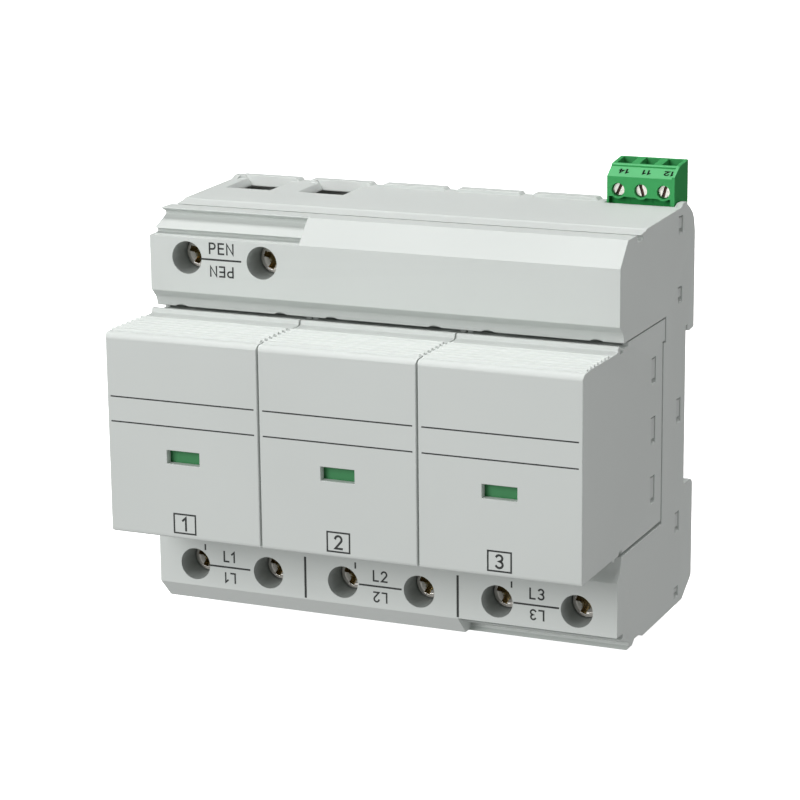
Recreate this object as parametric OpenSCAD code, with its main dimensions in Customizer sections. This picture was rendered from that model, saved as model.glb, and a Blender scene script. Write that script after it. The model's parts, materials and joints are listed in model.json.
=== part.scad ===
// Three-pole surge arrester for a 35 mm mounting rail: a base with screw
// terminals and three plug-in arrester modules, and a pluggable signal terminal.
// Millimetres. +Z is up, the front faces -Y, X runs along the rail.
// The origin is on the rail's centre line, in the plane where the base sits on it.

/* [Case] */
// Width of one plug-in module place, two modular units
place_w = 35.6; // [35.4:0.1:35.8]
// Thickness of the base's two end walls
end_wall = 1.5; // [1.3:0.1:1.6]
// Clearance beside a plug-in module
gap = 0.3; // [0.2:0.05:0.4]

/* [Terminals] */
// Diameter of a screwdriver shaft in the case
shaft_d = 7.1; // [6.8:0.1:7.4]
// Diameter of a terminal screw's head
head_d = 6.4; // [6:0.1:6.6]
// Thread diameter of a terminal screw
thread_d = 5; // [4.6:0.1:5.2]
// Radial running clearance of the screws in the clamps
run_fit = 0.08; // [0.04:0.01:0.1]
// Thickness of the copper bars
bar_t = 2; // [1.6:0.1:2.2]

/* [Modules] */
// Number of grip ribs on top of a module
rib_count = 7; // [5:1:7]
// Width of the status window
window_w = 7.6; // [7:0.1:8]
// Height of the status window
window_h = 2.9; // [2.6:0.1:3]
// Thickness of the contact blades
blade_t = 2; // [1.6:0.1:2]

/* [Signal plug] */
// Pole pitch of the signal terminal
pole = 5.08; // [5:0.01:5.1]
// Diameter of the plug's screw heads
pin_screw_d = 2.6; // [2.4:0.1:2.7]

/* [Rail] */
// Distance of each rail latch from the middle
latch_x = 30; // [26:1:32]
// Width of a rail latch
latch_w = 14; // [12:1:16]

/* [Hidden] */
$fn = 48;
half_w = 1.5 * place_w;
unit = place_w / 2;
places = [-place_w, 0, place_w];
pen_x = [-2.5 * unit, -1.5 * unit];
line_x = [for (i = [0:5]) (i - 2.5) * unit];
pen_z = 33.8;
line_z = -34.7;
inner_w = half_w - end_wall;
plug_x = half_w - 9.3;
blade_z = 12;

// A box between two corners
module box(x0, x1, y0, y1, z0, z1) {
  translate([x0, y0, z0]) cube([x1 - x0, y1 - y0, z1 - z0]);
}

// An outline in Y and Z, drawn out along X
module along_x(pts, x0, x1) {
  translate([x0, 0, 0]) rotate([90, 0, 90]) linear_extrude(x1 - x0) polygon(pts);
}

// An outline in X and Z, drawn out along Y
module along_y(pts, y0, y1) {
  translate([0, y1, 0]) rotate([90, 0, 0]) linear_extrude(y1 - y0) polygon(pts);
}

// An outline in X and Y, drawn out along Z
module along_z(pts, z0, z1) {
  translate([0, 0, z0]) linear_extrude(z1 - z0) polygon(pts);
}

// A round bar along Y
module rod(d, x, z, y0, y1) {
  translate([x, y1, z]) rotate([90, 0, 0]) cylinder(d = d, h = y1 - y0);
}

// A rounded corner as points, from angle a0 to a1
function corner(x, y, r, a0, a1, n = 6) =
  [for (i = [0:n]) let (a = a0 + (a1 - a0) * i / n) [x + r * cos(a), y + r * sin(a)]];

// ---- base ----

// Side view of the base: upper deck, back with the rail hooks, lower deck
base_side = concat(
  [[-40.7, 22.4]], corner(-43.9, 22.6, 3.2, 5, 42, 4), [[-43.2, 26.2], [-43.2, 38.2],
  [-38.5, 43.3], [-33.2, 43.3], [-32.6, 41.8], [-29.3, 41.8], [-29.3, 42.45], [-31.1, 42.95], [-27.5, 43.3], [-27, 43.6],
  [-5, 44.2], [-0.4, 44.3], [0.9, 43.8], [2.5, 42.8], [3.8, 41.8], [4.6, 40.7], [5, 39.4],
  [5.5, 37.6], [5.5, 16.4], [2.4, 16.1], [1.1, 16.5], [1.1, 17.7], [0, 17.7],
  [0, -17.7], [4.6, -17.7], [5.6, -18.1], [6.2, -18.9], [6.2, -40.2], [5.2, -40.9],
  [-0.2, -44.1], [-27, -44.1], [-27.5, -43.7], [-29.6, -43.2], [-32.2, -43.1],
  [-33.6, -44.1], [-38.9, -44.1], [-43.3, -39.6], [-43.3, -27.7],
  [-42.6, -26.9], [-41.9, -26.1], [-41.4, -25], [-41.1, -23.8], [-41, -22.6],
  [-15, -22.6], [-15, 17], [-13.5, 17], [-13.5, 22.4]]);

// Hollow of the base, open at the back
base_hollow = [[-39.2, 24.2], [-41.4, 26.8], [-41.4, 36.6], [-36.4, 39.4], [-26.6, 40.6],
  [-26, 42.2], [-1.6, 42.5], [0.2, 42], [3.1, 39.6], [3.7, 38], [9, 38], [9, -38.6],
  [4.2, -39.4], [-0.6, -42.3], [-26, -42.3], [-26.6, -41.4], [-33.8, -41.2], [-36.4, -40],
  [-41.5, -37.8], [-41.5, -27.4], [-39.6, -24.4], [-12.8, -24.4], [-12.8, 24.2]];

// Stepped seat for a marking strip along the bevel of a deck
strip_cut = [[-46, 38.2], [-40.6, 38.25], [-39.6, 38.45], [-39.8, 39.1], [-41, 39.35], [-36.9, 41],
  [-35.7, 41.6], [-35.9, 42.2], [-37.6, 43], [-37.5, 45], [-46, 45]];
function flip(pts, dz) = [for (p = pts) [p[0], dz - p[1]]];

// Heights of the snap windows in the base's end walls
base_windows = [[39.4, 42.4], [24.5, 27.1], [-1.9, 2.6], [-26.6, -22.9], [-41.6, -40]];
module_windows = [[10.4, 15.2], [-2.6, 2.4], [-15.6, -10.5]];

// A snap window through a wall from x0 to x1, with a bevelled lip under it
module snap_window(x0, x1, y0, y1, z) {
  box(min(x0, x1), max(x0, x1), y0, y1, z[0], z[1]);
  s = x1 > x0 ? 1 : -1;
  along_y([[x1, z[0] + 0.1], [x1 - s * 1.2, z[0] + 0.1], [x1, z[0] - 0.9]], y0, y1);
}

// A wire funnel in a deck, open upwards, with its throat
module funnel(x) {
  intersection() {
    along_x([[-11.6, 41], [-12.2, 42.8], [-14.9, 45], [-1.9, 45], [-2.5, 42.8], [-2.9, 41]], x - 7, x + 7);
    along_y([[x - 4.3, 41], [x - 4.9, 43.2], [x - 6.3, 45], [x + 6.3, 45], [x + 4.9, 43.2], [x + 4.3, 41]], -16, 0);
  }
  box(x - 3.8, x + 3.8, -10.1, -2.9, 39, 42);
}

module base_housing() {
  color([0.80, 0.81, 0.80]) difference() {
    union() {
      difference() {
        along_x(base_side, -half_w, half_w);
        along_x(base_hollow, -inner_w, inner_w);
        along_x(strip_cut, -half_w - 1, -unit - 0.2);
        along_x(flip(strip_cut, -1.3), unit, half_w + 1);
      }
      for (x = pen_x) rod(shaft_d + 1.7, x, pen_z, -42, -31.2);
      for (x = line_x) rod(shaft_d + 1.7, x, line_z, -42, -31.2);
      for (x = [-unit, unit]) box(x - 0.7, x + 0.7, -36, -13, -42.4, -24.3);
      for (x = [-unit + 1, 24.8, 47.8]) box(x - 0.7, x + 0.7, -33, -14, 24.1, 27);
      for (i = [0:4]) along_y([[(i - 3) * unit + 0.8, 44], [(i - 3) * unit + 1.5, 44.9],
        [(i - 2) * unit - 2, 44.9], [(i - 2) * unit - 1.1, 44]], -2.7, 0.2);
      for (s = [-1, 1]) along_x([[-5, 44], [-2.6, 44.9], [-0.6, 44.9], [1.5, 42.6]],
        s > 0 ? inner_w : -half_w, s > 0 ? half_w : -inner_w);
    }
    for (x = pen_x) { rod(shaft_d, x, pen_z, -44, -31); funnel(x); }
    for (x = line_x) {
      rod(shaft_d, x, line_z, -44, -31);
      translate([0, 0, 0.1]) mirror([0, 0, 1]) funnel(x);
    }
    for (m = places, s = [-1, 1]) {
      box(m - 5.7, m + 5.7, -16, -12, s * blade_z - 1.5, s * blade_z + 1.5);
      rod(5, m + s * 11.85, 20.4, -45, -39.8);
    }
    for (s = [-1, 1], z = base_windows)
      snap_window(s * (inner_w - 0.1), s * half_w, -5.8, -3, z);
    box(plug_x - 8.1, inner_w, -4.4, 9, 26.8, 50);
    for (s = [-1, 1])
      box(s * latch_x - latch_w / 2 - 0.4, s * latch_x + latch_w / 2 + 0.4, 0.8, 4.4, -46, -37);
  }
}

// The back moulding: rail seat, upper hook, latch guides and snap flanges
module base_rear_plate() {
  color([0.74, 0.75, 0.74]) difference() {
    union() {
      along_x([[0, 15.6], [-0.3, 15.6], [-0.3, 17.7], [1.1, 17.7], [1.1, 16.5], [2.4, 16.1], [5.5, 16.4], [5.5, 37.8],
        [3.7, 37.8], [3.7, 19.6], [-2, 19.6], [-2, -19.6], [4.4, -19.6], [4.4, -38.4],
        [6.2, -38.4], [6.2, -18.9], [5.6, -18.1], [4.6, -17.7], [-0.3, -17.7],
        [-0.3, -15.6], [0, -15.6]], -inner_w + 0.2, inner_w - 0.2);
      for (s = [-1, 1]) {
        along_x([[-5.5, -42], [-3.3, -42], [-1.5, -38.3], [4.5, -38.3], [4.5, -19.5],
          [-1.9, -19.5], [-1.9, 19.5], [3.8, 19.5], [3.8, 37.6], [-3.3, 37.6], [-3.3, 42.2],
          [-5.5, 42.2]], s > 0 ? inner_w - 1.6 : -inner_w + 0.2, s > 0 ? inner_w - 0.2 : -inner_w + 1.6);
        for (z = base_windows)
          box(s > 0 ? inner_w - 0.4 : -half_w + 0.22, s > 0 ? half_w - 0.22 : -inner_w + 0.4,
            -5.45, -3.25, z[0] + 0.3, z[1] - 0.3);
        difference() {
          box(s * latch_x - latch_w / 2 - 1.8, s * latch_x + latch_w / 2 + 1.8, 0.3, 4.5, -36, -19.5);
          box(s * latch_x - latch_w / 2 - 0.35, s * latch_x + latch_w / 2 + 0.35, 1, 4.4, -40, -16);
          box(s * latch_x - latch_w / 2 + 1.5, s * latch_x + latch_w / 2 - 1.5, -1, 2, -40, -19.6);
        }
      }
    }
    for (s = [-1, 1])
      box(s * latch_x - latch_w / 2 - 0.35, s * latch_x + latch_w / 2 + 0.35, 0.9, 8, -23.5, -15);
    box(plug_x - 8.3, inner_w + 0.05, -4.25, 9, 26.8, 46);
  }
}

// Sliding latch that grips behind the rail's lower edge
module rail_latch(x) {
  color([0.30, 0.31, 0.31]) difference() {
    along_x([[1.3, -47], [3.2, -47], [4, -46.2], [4, -20.6], [5.2, -19.9], [5.2, -17.6],
      [4, -16.2], [1.3, -16.2]], x - latch_w / 2, x + latch_w / 2);
    box(x - 3, x + 3, 0, 9, -45.9, -44.2);
    for (s = [-1, 1]) box(x + s * 4.6 - 0.8, x + s * 4.6 + 0.8, 0, 9, -34, -23);
  }
}
module rail_latch_left() { rail_latch(-latch_x); }
module rail_latch_right() { rail_latch(latch_x); }

// Flat copper bar behind the modules, with a tongue into each clamp
module bar(x0, x1, tongues, s) {
  color([0.80, 0.50, 0.30]) union() {
    box(x0, x1, -12.4, -12.4 + bar_t, s > 0 ? 15 : -21.5, s > 0 ? 21.5 : -15);
    for (x = tongues)
      box(x - 3.4, x + 3.4, -12.4, -12.4 + bar_t, s > 0 ? 21 : -38.3, s > 0 ? 37.6 : -21);
  }
}
module pen_busbar() { bar(-2.5 * unit - 4, place_w + 5, pen_x, 1); }
module line_bar(i) { bar(places[i] - unit / 2 - 3.4, places[i] + unit / 2 + 3.4, [line_x[2 * i], line_x[2 * i + 1]], -1); }
module line_bar_1() { line_bar(0); }
module line_bar_2() { line_bar(1); }
module line_bar_3() { line_bar(2); }

// Spring fork on the back of a bar; it takes a module's blade
module fork(x, s) {
  h = blade_t / 2 + 0.05;
  y0 = -12.4 + bar_t;
  color([0.82, 0.80, 0.74]) mirror([0, 0, s > 0 ? 0 : 1]) along_x([
    [y0, 14.8], [y0, 21], [y0 + 1.2, 21], [y0 + 1.2, 15.8], [-3.4, 15.8], [-3.4, blade_z - h - 1.2], [-9.2, blade_z - h - 1.2],
    [-9.9, blade_z - h - 1.9], [-9.9, blade_z - h - 0.7], [-9.2, blade_z - h], [-4.6, blade_z - h],
    [-4.6, blade_z + h], [-9.2, blade_z + h], [-9.9, blade_z + h + 0.7], [-9.4, blade_z + h + 1.1],
    [-4.6, blade_z + h + 1.2], [-4.6, 14.6], [y0 + 0.2, 14.6]],
    x - 4.5, x + 4.5);
}
module pen_fork_1() { fork(places[0], 1); }
module pen_fork_2() { fork(places[1], 1); }
module pen_fork_3() { fork(places[2], 1); }
module line_fork_1() { fork(places[0], -1); }
module line_fork_2() { fork(places[1], -1); }
module line_fork_3() { fork(places[2], -1); }

// ---- screw terminals ----

// Screw with a cupped cross recess; its tip bears on the bar
module screw(x, z) {
  color([0.78, 0.75, 0.70]) difference() {
    union() {
      rod(head_d, x, z, -36.9, -33.4);
      rod(head_d - 0.6, x, z, -37.1, -36.5);
      rod(thread_d, x, z, -33.8, -13);
      rod(thread_d - 1, x, z, -13.5, -12.6);
    }
    translate([x, -36.3, z]) rotate([90, 0, 0]) cylinder(d1 = 2.6, d2 = 4.8, h = 0.9);
    for (a = [20, 110]) translate([x, -38, z]) rotate([0, a, 0]) box(-2.5, 2.5, 0, 3, -0.6, 0.6);
    rod(2.2, x, z, -38, -34.7);
  }
}
module screw_pen_1() { screw(pen_x[0], pen_z); }
module screw_pen_2() { screw(pen_x[1], pen_z); }
module screw_line_1() { screw(line_x[0], line_z); }
module screw_line_2() { screw(line_x[1], line_z); }
module screw_line_3() { screw(line_x[2], line_z); }
module screw_line_4() { screw(line_x[3], line_z); }
module screw_line_5() { screw(line_x[4], line_z); }
module screw_line_6() { screw(line_x[5], line_z); }

// Lift clamp: a frame that the screw draws up against the bar
module clamp(x, z) {
  color([0.70, 0.71, 0.73]) difference() {
    box(x - 5.4, x + 5.4, -21, 0, z - 4.2, z + 4.2);
    box(x - 3.7, x + 3.7, -18, -1.4, z - 5, z + 5);
    rod(thread_d + 2 * run_fit, x, z, -22, -17);
  }
}
module clamp_pen_1() { clamp(pen_x[0], pen_z); }
module clamp_pen_2() { clamp(pen_x[1], pen_z); }
module clamp_line_1() { clamp(line_x[0], line_z); }
module clamp_line_2() { clamp(line_x[1], line_z); }
module clamp_line_3() { clamp(line_x[2], line_z); }
module clamp_line_4() { clamp(line_x[3], line_z); }
module clamp_line_5() { clamp(line_x[4], line_z); }
module clamp_line_6() { clamp(line_x[5], line_z); }

// ---- remote signalling ----

module signal_board() {
  color([0.13, 0.40, 0.25]) difference() {
    box(-unit, inner_w - 1.9, -34, 3.6, 27, 28.6);
    for (i = [-1:1]) box(plug_x + i * pole - 0.55, plug_x + i * pole + 0.55, 0.05, 1.15, 26, 30);
  }
}

module signal_switch() {
  color([0.16, 0.16, 0.17]) union() {
    box(0, 20, -24, -17.6, 28.6, 38.6);
    box(8.6, 11.4, -22, -19.6, 38.4, 39.4);
  }
}

module plug_header() {
  color([0.20, 0.52, 0.30]) difference() {
    box(plug_x - 7.5, plug_x + 7.5, -4, 5.2, 28.6, 43);
    box(plug_x - 6.3, plug_x + 6.3, -2.8, 4, 33, 44);
    for (i = [-1:1]) box(plug_x + i * pole - 0.55, plug_x + i * pole + 0.55, 0.05, 1.15, 28, 34);
  }
}

module header_pins() {
  color([0.85, 0.83, 0.78]) for (i = [-1:1])
    box(plug_x + i * pole - 0.5, plug_x + i * pole + 0.5, 0.1, 1.1, 25.6, 41.6);
}

// Screw height in the plug, and how far each screw's slot is turned
plug_z = 47.1;
slot_turn = [24, -17, 16];

module plug_housing() {
  color([0.27, 0.65, 0.36]) difference() {
    union() {
      along_x([[-4, 43.2], [-4, 50.4], [-0.7, 52.3], [5.2, 53], [5.2, 43.2]], plug_x - 7.6, plug_x + 7.6);
      box(plug_x - 6.1, plug_x + 6.1, -2.6, 3.8, 33.4, 43.4);
    }
    // panel of the bevel, set in from its rim
    along_x([[-4.3, 49.82], [-1.01, 51.72], [-1.31, 52.3], [-4.6, 50.6]], plug_x - 8, plug_x + 6.9);
    for (i = [-1:1]) {
      x = plug_x + i * pole;
      // wire pocket, screw shaft and clamp chamber
      box(x - 1.6, x + 1.6, 0.3, 4.8, 44.4, 54);
      box(x - 1.6, x + 1.6, -0.15, 4.8, 50.4, 54);
      rod(pin_screw_d + 0.3, x, plug_z, -4.1, -1.2);
      box(x - 2.1, x + 2.1, -2.4, 4.7, 44.6, 49.6);
      box(x - 0.9, x + 0.9, -0.2, 2, 33, 45);
    }
    // relief around the screw bosses, with a slit between the poles
    difference() {
      box(plug_x - 7.1, plug_x + 6.6, -4.1, -2.6, 43, 45.6);
      for (i = [-1:1]) rod(pin_screw_d + 1.2, plug_x + i * pole, plug_z, -5, -2);
    }
    for (i = [-1, 1]) box(plug_x + i * pole / 2 - 0.25, plug_x + i * pole / 2 + 0.25, -4.1, -2.5, 43, 45.6);
  }
}

// Contact strips of the plug: bent tongues under the clamps and sockets for the pins
module plug_contacts() {
  color([0.83, 0.80, 0.72]) for (i = [-1:1]) {
    x = plug_x + i * pole;
    box(x - 1.1, x + 1.1, 0.3, 1, 45.2, 49.2);
    difference() {
      box(x - 0.85, x + 0.85, -0.15, 1.95, 33.6, 45.3);
      box(x - 0.55, x + 0.55, 0.05, 1.15, 33, 43.4);
    }
  }
}

module plug_screw(i) {
  x = plug_x + i * pole;
  color([0.84, 0.79, 0.70]) difference() {
    union() {
      rod(pin_screw_d, x, plug_z, -3.1, -2.5);
      rod(1.8, x, plug_z, -2.8, 0.2);
    }
    translate([x, 0, plug_z]) rotate([0, slot_turn[i + 1], 0]) box(-0.32, 0.32, -4, -2.72, -3, 3);
  }
}
module plug_screw_1() { plug_screw(-1); }
module plug_screw_2() { plug_screw(0); }
module plug_screw_3() { plug_screw(1); }

module plug_clamp(i) {
  x = plug_x + i * pole;
  color([0.75, 0.75, 0.75]) difference() {
    box(x - 1.95, x + 1.95, -0.7, 4.55, 45.4, 49);
    box(x - 1.35, x + 1.35, 0, 4.05, 45, 50);
    rod(1.8 + 2 * run_fit, x, plug_z, -1, 0.1);
  }
}
module plug_clamp_1() { plug_clamp(-1); }
module plug_clamp_2() { plug_clamp(0); }
module plug_clamp_3() { plug_clamp(1); }

// ---- plug-in modules ----

// Side view of a module
module_side = concat(
  corner(-63.2, -21.3, 1, 180, 270, 5),
  [[-50.2, -22.3], [-46.9, -22], [-43, -23.3], [-42.3, -21.3], [-40.6, -21.2], [-40, -22.4],
  [-15.3, -22.4], [-15.3, 17.3], [-13.8, 17.3], [-13.8, 22.1], [-37.5, 22.1], [-37.5, 21.3], [-40.5, 21.3], [-40.5, 20.7],
  [-42.5, 20.6], [-42.7, 22.3], [-43.6, 22.3], [-43.8, 21.4], [-44.6, 21.1], [-59.6, 21.3], [-62.2, 21.15]],
  corner(-62.8, 19.75, 1.4, 75, 180, 6));
module_half = place_w / 2 - gap / 2;
window_z = -4.55;

module module_housing(m) {
  color([0.80, 0.81, 0.80]) translate([m, 0, 0]) difference() {
    union() {
      intersection() {
        along_x(module_side, -module_half, module_half);
        along_z(concat([[-module_half, -10]], corner(-module_half + 0.4, -63.8, 0.4, 180, 270, 3),
          corner(module_half - 0.4, -63.8, 0.4, 270, 360, 3), [[module_half, -10]]), -30, 30);
        along_y(concat([[module_half, 30], [-module_half, 30]], corner(-module_half + 0.7, -21.6, 0.7, 180, 270, 3),
          [[-module_half + 0.7, -25], [module_half - 0.7, -25]], corner(module_half - 0.7, -21.6, 0.7, 270, 360, 3)), -70, -10);
      }
      for (i = [0:rib_count - 1]) let (y = -61.9 + 2.05 * i)
        along_x([[y, 20.9], [y + 0.4, 21.65], [y + 0.9, 21.65], [y + 1.3, 20.9]], -module_half + 0.25, module_half - 0.25);
    }
    // shallow pocket under the front edge of the upper deck
    box(-module_half + 1.3, module_half - 1.3, -38, -33, 21.3, 23);
    box(-15.85, 15.85, -62.4, -12, -19.4, 18.9);
    box(-window_w / 2, window_w / 2, -65, -62, window_z - window_h / 2, window_z + window_h / 2);
    for (s = [-1, 1], z = module_windows) snap_window(s * 15.7, s * module_half, -22.4, -19.6, z);
  }
  // guide ribs and stop of the status flag
  color([0.80, 0.81, 0.80]) translate([m, 0, 0]) {
    for (s = [-1, 1]) box(s > 0 ? 5.3 : -6.6, s > 0 ? 6.6 : -5.3, -62.5, -60.6, -12, 6);
    box(-6.6, 6.6, -62.5, -60.6, -12, -10.6);
  }
}
module module_housing_1() { module_housing(places[0]); }
module module_housing_2() { module_housing(places[1]); }
module module_housing_3() { module_housing(places[2]); }

// Back closure of a module, held by snap arms in the side windows
module module_back(m) {
  color([0.72, 0.73, 0.72]) translate([m, 0, 0]) difference() {
    union() {
      box(-15.7, 15.7, -17.5, -15.5, -19.2, 18.7);
      for (s = [-1, 1], z = module_windows) {
        box(s > 0 ? 14.3 : -15.7, s > 0 ? 15.7 : -14.3, -22.05, -17.4, z[0] + 0.3, z[1] - 0.3);
        box(s > 0 ? 15.6 : -module_half + 0.22, s > 0 ? module_half - 0.22 : -15.6, -22.05, -19.85, z[0] + 0.3, z[1] - 0.3);
      }
    }
    for (s = [-1, 1]) box(-5.3, 5.3, -18, -15, s * blade_z - blade_t / 2 - 0.2, s * blade_z + blade_t / 2 + 0.2);
  }
}
module module_back_1() { module_back(places[0]); }
module module_back_2() { module_back(places[1]); }
module module_back_3() { module_back(places[2]); }

// Spark gap electrode with its horn and contact blade in one piece
module electrode(m, s) {
  t = blade_t / 2;
  color([0.80, 0.55, 0.36]) mirror([0, 0, s > 0 ? 0 : 1]) union() {
    along_x([[-5.6, blade_z - t + 0.4], [-6.4, blade_z - t], [-20, blade_z - t], [-20, 0.9], [-27, 0.9], [-46.5, 9.4],
      [-46.5, blade_z + t], [-6.4, blade_z + t], [-5.6, blade_z + t - 0.4]], m - 5, m + 5);
  }
}
module pen_electrode_1() { electrode(places[0], 1); }
module pen_electrode_2() { electrode(places[1], 1); }
module pen_electrode_3() { electrode(places[2], 1); }
module line_electrode_1() { electrode(places[0], -1); }
module line_electrode_2() { electrode(places[1], -1); }
module line_electrode_3() { electrode(places[2], -1); }

// Insulating arc chamber around the spark gap
module arc_chamber(m) {
  color([0.86, 0.84, 0.78]) difference() {
    box(m - 12, m + 12, -52, -17.6, -17, 17);
    box(m - 5.2, m + 5.2, -47, -17, -13.3, 13.3);
    box(m - 8, m + 8, -48.6, -30, -8, 8);
  }
}
module arc_chamber_1() { arc_chamber(places[0]); }
module arc_chamber_2() { arc_chamber(places[1]); }
module arc_chamber_3() { arc_chamber(places[2]); }

// Two-colour status slide behind the window
module status_flag(m) {
  color([0.20, 0.55, 0.32]) union() {
    box(m - 5.1, m + 5.1, -62.2, -61.1, -10.4, -2.2);
    box(m - 1.5, m + 1.5, -61.3, -56, -9.2, -7.4);
    box(m - 1.5, m + 1.5, -57.6, -56, -9.2, 6);
  }
}
module status_flag_1() { status_flag(places[0]); }
module status_flag_2() { status_flag(places[1]); }
module status_flag_3() { status_flag(places[2]); }

base_housing();
base_rear_plate();
pen_busbar();
line_bar_1();
line_bar_2();
line_bar_3();
pen_fork_1();
pen_fork_2();
pen_fork_3();
line_fork_1();
line_fork_2();
line_fork_3();
signal_board();
signal_switch();
plug_header();
header_pins();
rail_latch_left();
rail_latch_right();
screw_pen_1();
screw_pen_2();
screw_line_1();
screw_line_2();
screw_line_3();
screw_line_4();
screw_line_5();
screw_line_6();
clamp_pen_1();
clamp_pen_2();
clamp_line_1();
clamp_line_2();
clamp_line_3();
clamp_line_4();
clamp_line_5();
clamp_line_6();
plug_housing();
plug_contacts();
plug_screw_1();
plug_screw_2();
plug_screw_3();
plug_clamp_1();
plug_clamp_2();
plug_clamp_3();
module_housing_1();
module_housing_2();
module_housing_3();
module_back_1();
module_back_2();
module_back_3();
pen_electrode_1();
pen_electrode_2();
pen_electrode_3();
line_electrode_1();
line_electrode_2();
line_electrode_3();
arc_chamber_1();
arc_chamber_2();
arc_chamber_3();
status_flag_1();
status_flag_2();
status_flag_3();
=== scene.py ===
import json
import math

import bmesh
import bpy
from mathutils import Matrix, Vector


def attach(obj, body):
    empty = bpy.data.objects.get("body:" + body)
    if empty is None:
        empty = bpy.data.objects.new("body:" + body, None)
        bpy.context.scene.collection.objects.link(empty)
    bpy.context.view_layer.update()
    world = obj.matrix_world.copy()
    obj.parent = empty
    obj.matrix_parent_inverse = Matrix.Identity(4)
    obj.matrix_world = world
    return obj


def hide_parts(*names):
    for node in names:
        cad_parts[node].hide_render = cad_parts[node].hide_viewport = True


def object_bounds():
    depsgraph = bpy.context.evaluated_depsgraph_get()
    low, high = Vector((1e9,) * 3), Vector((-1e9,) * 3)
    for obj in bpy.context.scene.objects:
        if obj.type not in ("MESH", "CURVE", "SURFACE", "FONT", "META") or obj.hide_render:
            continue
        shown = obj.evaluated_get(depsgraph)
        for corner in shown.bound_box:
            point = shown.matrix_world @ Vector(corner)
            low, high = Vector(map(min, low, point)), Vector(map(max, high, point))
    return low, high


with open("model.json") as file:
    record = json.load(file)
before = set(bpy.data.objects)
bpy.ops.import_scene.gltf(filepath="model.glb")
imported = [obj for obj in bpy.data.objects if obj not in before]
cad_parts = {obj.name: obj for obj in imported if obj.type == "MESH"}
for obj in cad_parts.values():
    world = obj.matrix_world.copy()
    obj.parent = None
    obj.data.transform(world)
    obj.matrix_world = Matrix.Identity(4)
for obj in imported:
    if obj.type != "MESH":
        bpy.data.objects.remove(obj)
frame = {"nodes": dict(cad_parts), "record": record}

CAD_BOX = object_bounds()
MM = 0.001
NODES = frame["nodes"]
scene = bpy.context.scene


# ------------------------------------------------------------------ camera
YAW, PITCH, ROLL = math.radians(23.78), math.radians(14.08), math.radians(-0.619)
FOCAL_PX = 2783.1
OFFSET = Vector((-61.55, 28.02, 593.8))
SHIFT_ORIGIN = Vector((53.4, 64.2, 22.4))

flat_fwd = Vector((-math.sin(YAW), math.cos(YAW), 0))
flat_right = Vector((math.cos(YAW), math.sin(YAW), 0))
up0 = Vector((0, 0, 1))
fwd = flat_fwd * math.cos(PITCH) - up0 * math.sin(PITCH)
up1 = up0 * math.cos(PITCH) + flat_fwd * math.sin(PITCH)
right = flat_right * math.cos(ROLL) + up1 * math.sin(ROLL)
up = up1 * math.cos(ROLL) - flat_right * math.sin(ROLL)
centre = -(right * OFFSET.x - up * OFFSET.y + fwd * OFFSET.z) - SHIFT_ORIGIN

cam_data = bpy.data.cameras.new("main_camera")
cam = bpy.data.objects.new("main_camera", cam_data)
scene.collection.objects.link(cam)
cam.matrix_world = Matrix((
    (right.x, up.x, -fwd.x, centre.x * MM),
    (right.y, up.y, -fwd.y, centre.y * MM),
    (right.z, up.z, -fwd.z, centre.z * MM),
    (0, 0, 0, 1)))
cam_data.sensor_fit = "HORIZONTAL"
cam_data.sensor_width = 36.0
cam_data.lens = FOCAL_PX / 800.0 * 36.0
cam_data.clip_start = 0.01
cam_data.clip_end = 50.0
scene.camera = cam


# --------------------------------------------------------------- materials
def new_mat(name):
    mat = bpy.data.materials.new(name)
    mat.use_nodes = True
    tree = mat.node_tree
    return mat, tree, tree.nodes["Principled BSDF"]


def node(tree, kind, **values):
    n = tree.nodes.new(kind)
    for key, value in values.items():
        if key in n.inputs.keys():
            n.inputs[key].default_value = value
        else:
            setattr(n, key, value)
    return n


def ramp(tree, source, stops):
    r = tree.nodes.new("ShaderNodeValToRGB")
    els = r.color_ramp.elements
    while len(els) < len(stops):
        els.new(0.5)
    for el, (pos, col) in zip(els, stops):
        el.position = pos
        el.color = (*col, 1) if len(col) == 3 else col
    tree.links.new(source, r.inputs["Fac"])
    return r


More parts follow.
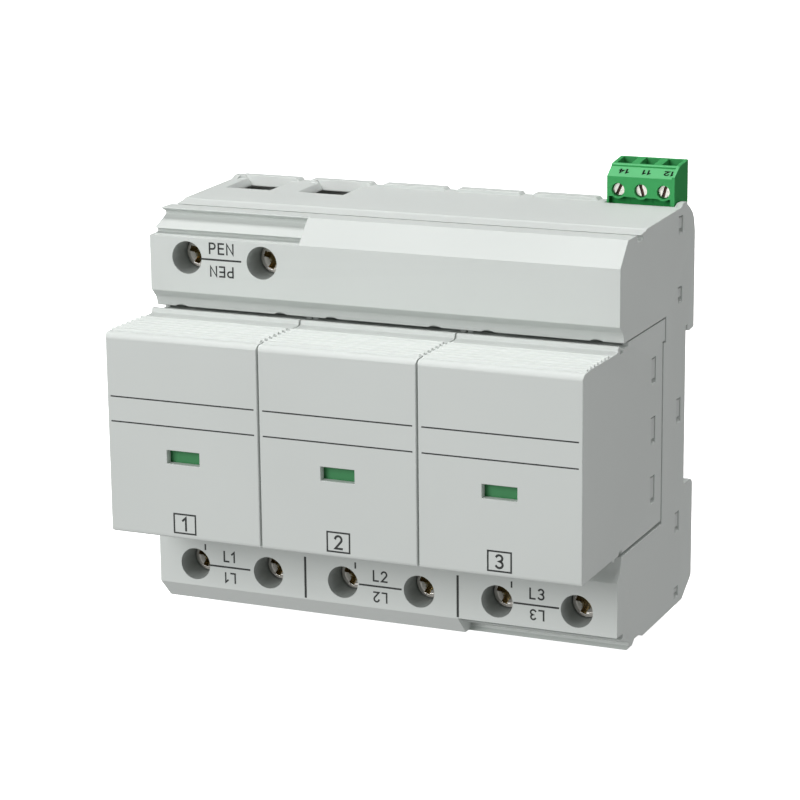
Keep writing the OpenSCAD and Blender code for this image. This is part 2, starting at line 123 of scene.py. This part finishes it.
def moulded(name, base, rough, grain=0.06, vary=0.03, specular=0.4, edge_highlight=0.0):
    """Moulded plastic: a fine grain, slow shade and gloss changes, and paler convex edges that are a painted edge
    highlight.
    """
    mat, t, p = new_mat(name)
    co = node(t, "ShaderNodeTexCoord")
    slow = node(t, "ShaderNodeTexNoise", Scale=38.0, Detail=3.0)
    fine = node(t, "ShaderNodeTexNoise", Scale=3200.0, Detail=2.0)
    for n in (slow, fine):
        t.links.new(co.outputs["Object"], n.inputs["Vector"])
    lo = [c * (1 - vary) for c in base]
    hi = [min(1.0, c * (1 + vary)) for c in base]
    shade = ramp(t, slow.outputs["Fac"], [(0.3, lo), (0.7, hi)])
    colour = shade.outputs["Color"]
    # Paler convex edges found by pointiness: a painted edge highlight.
    if edge_highlight > 0:
        geo = node(t, "ShaderNodeNewGeometry")
        edge = ramp(t, geo.outputs["Pointiness"], [(0.52, (0, 0, 0)), (0.60, (1, 1, 1))])
        mix = node(t, "ShaderNodeMix", data_type="RGBA")
        amount = node(t, "ShaderNodeMath", operation="MULTIPLY")
        amount.inputs[1].default_value = edge_highlight
        t.links.new(edge.outputs["Color"], amount.inputs[0])
        t.links.new(amount.outputs[0], mix.inputs["Factor"])
        t.links.new(colour, mix.inputs["A"])
        mix.inputs["B"].default_value = (*[min(1.0, c * 1.25) for c in base], 1)
        colour = mix.outputs["Result"]
    t.links.new(colour, p.inputs["Base Color"])
    gloss = node(t, "ShaderNodeMapRange")
    gloss.inputs["To Min"].default_value = rough - 0.06
    gloss.inputs["To Max"].default_value = rough + 0.06
    t.links.new(slow.outputs["Fac"], gloss.inputs["Value"])
    t.links.new(gloss.outputs["Result"], p.inputs["Roughness"])
    bump = node(t, "ShaderNodeBump", Strength=grain, Distance=0.00004)
    t.links.new(fine.outputs["Fac"], bump.inputs["Height"])
    t.links.new(bump.outputs["Normal"], p.inputs["Normal"])
    p.inputs["Specular IOR Level"].default_value = specular
    return mat


def metal(name, base, rough, scale=(900.0, 60.0, 900.0), grain=0.12, metallic=1.0):
    """Plated or rolled metal with drawn streaks and slight tarnish."""
    mat, t, p = new_mat(name)
    co = node(t, "ShaderNodeTexCoord")
    mp = node(t, "ShaderNodeMapping")
    mp.inputs["Scale"].default_value = scale
    t.links.new(co.outputs["Object"], mp.inputs["Vector"])
    streak = node(t, "ShaderNodeTexNoise", Scale=1.0, Detail=3.0)
    t.links.new(mp.outputs["Vector"], streak.inputs["Vector"])
    slow = node(t, "ShaderNodeTexNoise", Scale=160.0, Detail=2.0)
    t.links.new(co.outputs["Object"], slow.inputs["Vector"])
    shade = ramp(t, slow.outputs["Fac"], [(0.3, [c * 0.86 for c in base]), (0.7, base)])
    t.links.new(shade.outputs["Color"], p.inputs["Base Color"])
    gloss = node(t, "ShaderNodeMapRange")
    gloss.inputs["To Min"].default_value = rough - 0.08
    gloss.inputs["To Max"].default_value = rough + 0.1
    t.links.new(streak.outputs["Fac"], gloss.inputs["Value"])
    t.links.new(gloss.outputs["Result"], p.inputs["Roughness"])
    bump = node(t, "ShaderNodeBump", Strength=grain, Distance=0.00003)
    t.links.new(streak.outputs["Fac"], bump.inputs["Height"])
    t.links.new(bump.outputs["Normal"], p.inputs["Normal"])
    p.inputs["Metallic"].default_value = metallic
    return mat


# The case and plug greens pass an amount of painted edge highlight for their convex edges.
CASE = moulded("case_grey", (0.615, 0.645, 0.625), 0.5, grain=0.05, vary=0.012, edge_highlight=0.25)
BACK = moulded("back_grey", (0.575, 0.60, 0.585), 0.55, grain=0.08, vary=0.02)
COPPER = metal("copper", (0.83, 0.46, 0.30), 0.32)
TIN = metal("tinned_bronze", (0.78, 0.74, 0.64), 0.30)
BOARD = moulded("board_green", (0.03, 0.20, 0.09), 0.35, grain=0.04, vary=0.08)
SWITCH = moulded("switch_black", (0.02, 0.02, 0.02), 0.5, vary=0.05)
# Darker grey for the walls of the screwdriver shafts: painted shade in the bores.
BORE_SHADE = moulded("shaft_painted_shade", (0.43, 0.455, 0.44), 0.6, grain=0.05, vary=0.03, specular=0.2)
PLUG = moulded("plug_green", (0.05, 0.345, 0.105), 0.5, grain=0.05, vary=0.03, specular=0.1, edge_highlight=0.3)
# Darker green for the plug's end faces and its recessed relief: painted shade.
PLUG_SHADE = moulded("plug_green_painted_shade", (0.025, 0.255, 0.065), 0.6, grain=0.08, vary=0.04, specular=0.05)
# Paler green for the plug's upward slope: a painted sheen.
PLUG_SHEEN = moulded("plug_green_painted_sheen", (0.115, 0.475, 0.19), 0.5, grain=0.05, vary=0.03, specular=0.1, edge_highlight=0.3)
LATCH = moulded("latch_dark", (0.05, 0.05, 0.052), 0.5, vary=0.05)
SCREW = metal("screw_steel", (0.95, 0.91, 0.85), 0.24, scale=(300.0, 300.0, 300.0), grain=0.05, metallic=0.6)
# Dark golden steel for the cross recess of the terminal screws: painted shade.
RECESS_SHADE = metal("recess_painted_shade", (0.42, 0.345, 0.20), 0.26, scale=(300.0, 300.0, 300.0), grain=0.05)
# Near-black steel for the slots of the plug screws: painted shade.
SLOT_SHADE = metal("slot_painted_shade", (0.085, 0.05, 0.042), 0.42, scale=(300.0, 300.0, 300.0), grain=0.05)
CLAMP = metal("clamp_steel", (0.72, 0.72, 0.72), 0.35)
CHAMBER = moulded("chamber_cream", (0.70, 0.66, 0.56), 0.6, vary=0.04)


def flag_material():
    """Status slide: green above, red below, satin."""
    mat, t, p = new_mat("flag_green")
    co = node(t, "ShaderNodeTexCoord")
    sep = node(t, "ShaderNodeSeparateXYZ")
    t.links.new(co.outputs["Object"], sep.inputs["Vector"])
    mr = node(t, "ShaderNodeMapRange")
    mr.inputs["From Min"].default_value = -0.0064
    mr.inputs["From Max"].default_value = -0.0062
    t.links.new(sep.outputs["Z"], mr.inputs["Value"])
    two = ramp(t, mr.outputs["Result"], [(0.45, (0.50, 0.02, 0.015)), (0.55, (0.045, 0.235, 0.085))])
    t.links.new(two.outputs["Color"], p.inputs["Base Color"])
    fine = node(t, "ShaderNodeTexNoise", Scale=2600.0, Detail=2.0)
    t.links.new(co.outputs["Object"], fine.inputs["Vector"])
    bump = node(t, "ShaderNodeBump", Strength=0.04, Distance=0.00004)
    t.links.new(fine.outputs["Fac"], bump.inputs["Height"])
    t.links.new(bump.outputs["Normal"], p.inputs["Normal"])
    p.inputs["Roughness"].default_value = 0.4
    return mat


FLAG = flag_material()
INK = moulded("print_ink", (0.035, 0.038, 0.037), 0.55, grain=0.03, vary=0.04)
PLUG_INK = moulded("plug_ink", (0.010, 0.014, 0.011), 0.7, grain=0.03, vary=0.04, specular=0.05)
BY_SLOT = {"case_grey": CASE, "back_grey": BACK, "copper": COPPER, "tinned_bronze": TIN, "board_green": BOARD,
           "switch_black": SWITCH, "plug_green": PLUG, "latch_dark": LATCH, "screw_steel": SCREW,
           "clamp_steel": CLAMP, "chamber_cream": CHAMBER, "flag_green": FLAG}
SLOT_OF = {s["node"]: s["material_slot"] for s in frame["record"]["subparts"]}
BODY_OF = {n: b for b, ns in frame["record"]["behaviour"]["bodies"].items() for n in ns}

for name, obj in NODES.items():
    obj.data.materials.clear()
    obj.data.materials.append(BY_SLOT[SLOT_OF[name]])


# ------------------------------------------------------------ softened edges
SHAFTS = [(x, 33.8) for x in (-44.5, -26.7)] + [(x, -34.7) for x in (-44.5, -26.7, -8.9, 8.9, 26.7, 44.5)]


def in_shaft(p):
    """Whether a point, in millimetres, is on the wall of a screwdriver shaft, where shade is painted."""
    return -43.05 < p.y < -31.2 and any(math.hypot(p.x - x, p.z - z) < 3.7 for x, z in SHAFTS)


def soften(name, offset, segments=2, angle=24.0, keep=None):
    """A copy of a CAD node with its outer edges slightly rounded, as a moulding's are."""
    src = NODES[name]
    mesh = src.data.copy()
    obj = bpy.data.objects.new(name + "_soft", mesh)
    scene.collection.objects.link(obj)
    bm = bmesh.new()
    bm.from_mesh(mesh)
    bmesh.ops.remove_doubles(bm, verts=bm.verts, dist=2e-6)
    bmesh.ops.dissolve_limit(bm, angle_limit=math.radians(0.4), use_dissolve_boundaries=False,
                             verts=bm.verts, edges=bm.edges, delimit=set())
    w = offset * MM
    picked = []
    for e in bm.edges:
        if len(e.link_faces) != 2 or not e.is_convex:
            continue
        if e.calc_face_angle(0.0) < math.radians(angle) or e.calc_length() < 3 * w:
            continue
        near = [x for v in e.verts for x in v.link_edges if x is not e]
        if min(x.calc_length() for x in near) < 1.6 * w:
            continue
        if keep and not keep((e.verts[0].co + e.verts[1].co) / 2 / MM):
            continue
        picked.append(e)
    bmesh.ops.bevel(bm, geom=picked, offset=w, offset_type="OFFSET", segments=segments, profile=0.5,
                    affect="EDGES", clamp_overlap=False)
    for f in bm.faces:
        f.smooth = True
    for e in bm.edges:
        e.smooth = len(e.link_faces) == 2 and e.calc_face_angle(0.0) < math.radians(34)
    bm.to_mesh(mesh)
    bm.free()
    mesh.materials.clear()
    mesh.materials.append(BY_SLOT[SLOT_OF[name]])
    # The shaft walls of the base take the darker grey: painted shade in the bores.
    if name == "base_housing":
        mesh.materials.append(BORE_SHADE)
        for f in mesh.polygons:
            if in_shaft(f.center / MM):
                f.material_index = 1
    if name == "plug_housing":
        mesh.materials.append(PLUG_SHADE)
        mesh.materials.append(PLUG_SHEEN)
        for f in mesh.polygons:
            c = f.center / MM
            # End faces and the recessed relief take the darker green: painted shade.
            end = abs(f.normal.x) > 0.98 and abs(c.x - 44.1) > 7.5
            relief = -3.95 < c.y < -2.4 and c.z < 45.7
            if end or relief:
                f.material_index = 1
            # The upward sloping face takes the paler green: a painted sheen.
            elif f.normal.y < -0.25 and f.normal.z > 0.5 and c.y < -0.3 and c.z > 49:
                f.material_index = 2
    # Faces inside the screw heads' recess and slot take a darker steel: painted shade.
    if name.startswith(("screw_", "plug_screw_")):
        mesh.materials.append(RECESS_SHADE if name.startswith("screw_") else SLOT_SHADE)
        face = min(v.co.y for v in mesh.vertices) / MM
        x, z = ((max(v.co[k] for v in mesh.vertices) + min(v.co[k] for v in mesh.vertices)) / 2 for k in (0, 2))
        deep, reach = (0.55, 2.75) if name.startswith("screw_") else (0.15, 1.2)
        # For the plug screws the near-black steel in the slot is painted shade.
        for f in mesh.polygons:
            c = f.center
            if face + deep < c.y / MM < face + 4 and math.hypot(c.x - x, c.z - z) < reach * MM:
                f.material_index = 1
    wn = obj.modifiers.new("weighted", "WEIGHTED_NORMAL")
    wn.keep_sharp = True
    wn.weight = 80
    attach(obj, BODY_OF[name])
    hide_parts(name)
    return obj


SOFT = {"base_housing": 0.18, "module_housing_1": 0.18, "module_housing_2": 0.18, "module_housing_3": 0.18,
        "plug_housing": 0.15, "base_rear_plate": 0.2, "rail_latch_left": 0.25, "rail_latch_right": 0.25}
SOFT.update({name: 0.09 for name in NODES if name.startswith("screw_")})
SOFT.update({name: 0.05 for name in NODES if name.startswith("plug_screw_")})
for name, offset in SOFT.items():
    soften(name, offset)


# ---------------------------------------------------------------- markings
def decal(name, body, x0, x1, z0, z1, y):
    """A flat printed bar on a face that looks to the front."""
    mesh = bpy.data.meshes.new(name)
    mesh.from_pydata([(x0 * MM, y * MM, z0 * MM), (x1 * MM, y * MM, z0 * MM), (x1 * MM, y * MM, z1 * MM),
                      (x0 * MM, y * MM, z1 * MM)], [], [(0, 1, 2, 3)])
    mesh.materials.append(INK)
    obj = bpy.data.objects.new(name, mesh)
    scene.collection.objects.link(obj)
    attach(obj, body)
    return obj


def arc(cx, cy, rx, ry, a0, a1, n=10):
    return [(cx + rx * math.cos(math.radians(a0 + (a1 - a0) * i / n)),
             cy + ry * math.sin(math.radians(a0 + (a1 - a0) * i / n))) for i in range(n + 1)]


# Plain single-stroke signs: advance width and strokes, for a capital height of 1
SIGNS = {
    "P": (0.60, [[(0, 0), (0, 1), (0.33, 1)] + arc(0.33, 0.725, 0.26, 0.275, 90, -90)[1:] + [(0, 0.45)]]),
    "E": (0.55, [[(0.54, 1), (0, 1), (0, 0), (0.55, 0)], [(0, 0.53), (0.5, 0.53)]]),
    "N": (0.66, [[(0, 0), (0, 1), (0.66, 0), (0.66, 1)]]),
    "L": (0.48, [[(0, 1), (0, 0), (0.48, 0)]]),
    "1": (0.34, [[(0.0, 0.76), (0.26, 1), (0.26, 0)]]),
    "2": (0.56, [arc(0.28, 0.72, 0.27, 0.28, 165, -35) + [(0.02, 0), (0.57, 0)]]),
    "3": (0.56, [arc(0.26, 0.755, 0.25, 0.245, 150, -90) + arc(0.26, 0.255, 0.28, 0.255, 90, -150)[1:]]),
    "4": (0.60, [[(0.44, 0), (0.44, 1), (0, 0.28), (0.6, 0.28)]]),
}


def ribbon(points, half, verts, faces):
    """One stroke as a strip of flat faces of even width, mitred at its bends."""
    pts = [Vector((x, y)) for x, y in points]
    dirs = [(b - a).normalized() for a, b in zip(pts, pts[1:])]
    left = []
    for i, q in enumerate(pts):
        d0, d1 = dirs[max(i - 1, 0)], dirs[min(i, len(dirs) - 1)]
        n0, n1 = Vector((-d0.y, d0.x)), Vector((-d1.y, d1.x))
        n = n0 + n1
        n = n.normalized() if n.length > 1e-6 else n0
        left.append(n * min(half / max(n.dot(n0), 0.25), 2.2 * half))
    ends = {0: -dirs[0] * half * 0.9, len(pts) - 1: dirs[-1] * half * 0.9}
    first = len(verts)
    for i, q in enumerate(pts):
        c = q + ends.get(i, Vector((0, 0)))
        verts += [c + left[i], c - left[i]]
    for i in range(len(pts) - 1):
        a = first + 2 * i
        faces.append((a + 1, a + 3, a + 2, a))


def lettering(name, body, words, place, height, turn=0.0, tilt=90.0, mat=None, weight=0.175, stretch=1.0):
    """Printed signs of a given capital height, centred at a place, as a flat mesh."""
    verts, faces, x = [], [], 0.0
    for sign in words:
        width, strokes = SIGNS[sign]
        for stroke in strokes:
            ribbon([(px + x, py) for px, py in stroke], weight / 2, verts, faces)
        x += width + 0.36
    width = x - 0.36
    mesh = bpy.data.meshes.new(name)
    mesh.from_pydata([((v.x - width / 2) * stretch * height * MM, (v.y - 0.5) * height * MM, 0) for v in verts], [], faces)
    mesh.transform(Matrix.Rotation(math.radians(tilt), 4, "X") @ Matrix.Rotation(math.radians(turn), 4, "Z"))
    mesh.transform(Matrix.Translation(Vector(place) * MM))
    mesh.materials.append(mat or INK)
    obj = bpy.data.objects.new(name, mesh)
    scene.collection.objects.link(obj)
    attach(obj, body)
    return obj


UP_Y, LOW_Y, FRONT_Y = -43.22, -43.32, -64.22
for i, (words, x, za, zb, zl, x0, x1, y) in enumerate((
        ("PEN", -36.2, 36.2, 31.25, 33.77, -41.2, -31.5, UP_Y),
        ("L1", -36.1, -32.2, -37.0, -34.6, -41.2, -31.1, LOW_Y),
        ("L2", -0.1, -32.4, -37.1, -34.7, -5.1, 4.9, LOW_Y),
        ("L3", 35.7, -32.0, -36.6, -34.5, 30.4, 40.6, LOW_Y))):
    lettering("mark_%d_upright" % i, "base", words, (x, y, za), 2.2)
    lettering("mark_%d_turned" % i, "base", words, (x, y, zb), 2.1, turn=180.0)
    decal("mark_%d_link" % i, "base", x0, x1, zl - 0.2, zl + 0.2, y)
for i, x in enumerate((-17.8, 17.8)):
    decal("pole_line_%d" % i, "base", x - 0.26, x + 0.26, -39.3, -30.0, LOW_Y)
for i, x in enumerate((-42.0, -5.9, 30.0)):
    decal("pole_tick_%d" % i, "base", x - 0.19, x + 0.19, -31.3, -29.9, LOW_Y)

for k, (words, x) in enumerate((("14", 39.82), ("11", 44.9), ("12", 49.98))):
    lettering("plug_mark_%d" % k, "plug", words, (x, -2.46, 50.92), 1.25, turn=180.0, tilt=29.93,
              mat=PLUG_INK, weight=0.26, stretch=1.25)

for k, xm in ((1, -35.6), (2, 0.0), (3, 35.6)):
    body = "module_%d" % k
    decal("module_%d_line_a" % k, body, xm - 16.8, xm + 16.8, 7.5 - 0.15, 7.5 + 0.15, FRONT_Y)
    decal("module_%d_line_b" % k, body, xm - 16.8, xm + 16.8, 2.1 - 0.15, 2.1 + 0.15, FRONT_Y)
    w, h, t = 5.4, 4.5, 0.36
    zc = -18.85
    decal("module_%d_box_l" % k, body, xm - w / 2, xm - w / 2 + t, zc - h / 2, zc + h / 2, FRONT_Y)
    decal("module_%d_box_r" % k, body, xm + w / 2 - t, xm + w / 2, zc - h / 2, zc + h / 2, FRONT_Y)
    decal("module_%d_box_b" % k, body, xm - w / 2 + t, xm + w / 2 - t, zc - h / 2, zc - h / 2 + t, FRONT_Y)
    decal("module_%d_box_t" % k, body, xm - w / 2 + t, xm + w / 2 - t, zc + h / 2 - t, zc + h / 2, FRONT_Y)
    lettering("module_%d_number" % k, body, str(k), (xm, FRONT_Y, zc), 2.7)


# ------------------------------------------------------------------- stage
def pale(name):
    mat, t, p = new_mat(name)
    p.inputs["Base Color"].default_value = (0.9, 0.9, 0.9, 1)
    p.inputs["Roughness"].default_value = 0.9
    p.inputs["Specular IOR Level"].default_value = 0.0
    p.inputs["Emission Color"].default_value = (1, 1, 1, 1)
    p.inputs["Emission Strength"].default_value = 0.9
    return mat


def stage(obj):
    """A seen floor or backdrop that leaves the object's light to the lamps and the dome."""
    scene.collection.objects.link(obj)
    obj.visible_diffuse = False
    obj.visible_glossy = False
    obj.visible_shadow = False


PALE = pale("floor_pale")
ring = [(4.0 * math.cos(2 * math.pi * i / 64), 4.0 * math.sin(2 * math.pi * i / 64)) for i in range(64)]
floor_z = CAD_BOX[0][2] - 0.0035
mesh = bpy.data.meshes.new("floor")
mesh.from_pydata([(x, y, floor_z) for x, y in ring], [], [tuple(range(64))])
mesh.materials.append(PALE)
stage(bpy.data.objects.new("floor", mesh))
mesh = bpy.data.meshes.new("backdrop")
mesh.from_pydata([(x, y, floor_z) for x, y in ring] + [(x, y, 3.0) for x, y in ring], [],
                 [(i, (i + 1) % 64, 64 + (i + 1) % 64, 64 + i) for i in range(64)])
mesh.materials.append(PALE)
stage(bpy.data.objects.new("backdrop", mesh))


def area(name, place, target, size, power, colour=(1, 1, 1)):
    data = bpy.data.lights.new(name, "AREA")
    data.shape = "RECTANGLE"
    data.size, data.size_y = size
    data.energy = power
    data.color = colour
    obj = bpy.data.objects.new(name, data)
    scene.collection.objects.link(obj)
    obj.location = place
    obj.rotation_euler = (Vector(target) - Vector(place)).to_track_quat("-Z", "Y").to_euler()
    return obj


area("key", (-0.55, -1.35, 0.65), (0, -0.03, 0), (0.8, 0.8), 16.0)
area("top", (0.0, 0.1, 1.6), (0, -0.02, 0), (0.8, 0.8), 17.2)
area("side", (1.5, -0.3, 0.3), (0, -0.02, 0), (0.8, 0.8), 3.0)

world = bpy.data.worlds.new("studio")
scene.world = world
world.use_nodes = True
bg = world.node_tree.nodes["Background"]
bg.inputs["Strength"].default_value = 0.47
sky = node(world.node_tree, "ShaderNodeTexCoord")
height = node(world.node_tree, "ShaderNodeSeparateXYZ")
world.node_tree.links.new(sky.outputs["Generated"], height.inputs["Vector"])
span = node(world.node_tree, "ShaderNodeMapRange")
span.inputs["From Min"].default_value = -1.0
world.node_tree.links.new(height.outputs["Z"], span.inputs["Value"])
dome = ramp(world.node_tree, span.outputs["Result"], [(0.47, (1, 1, 1)), (0.53, (0.425, 0.425, 0.425))])
world.node_tree.links.new(dome.outputs["Color"], bg.inputs["Color"])

scene.view_settings.view_transform = "Standard"
scene.view_settings.look = "None"
scene.view_settings.exposure = 0.0
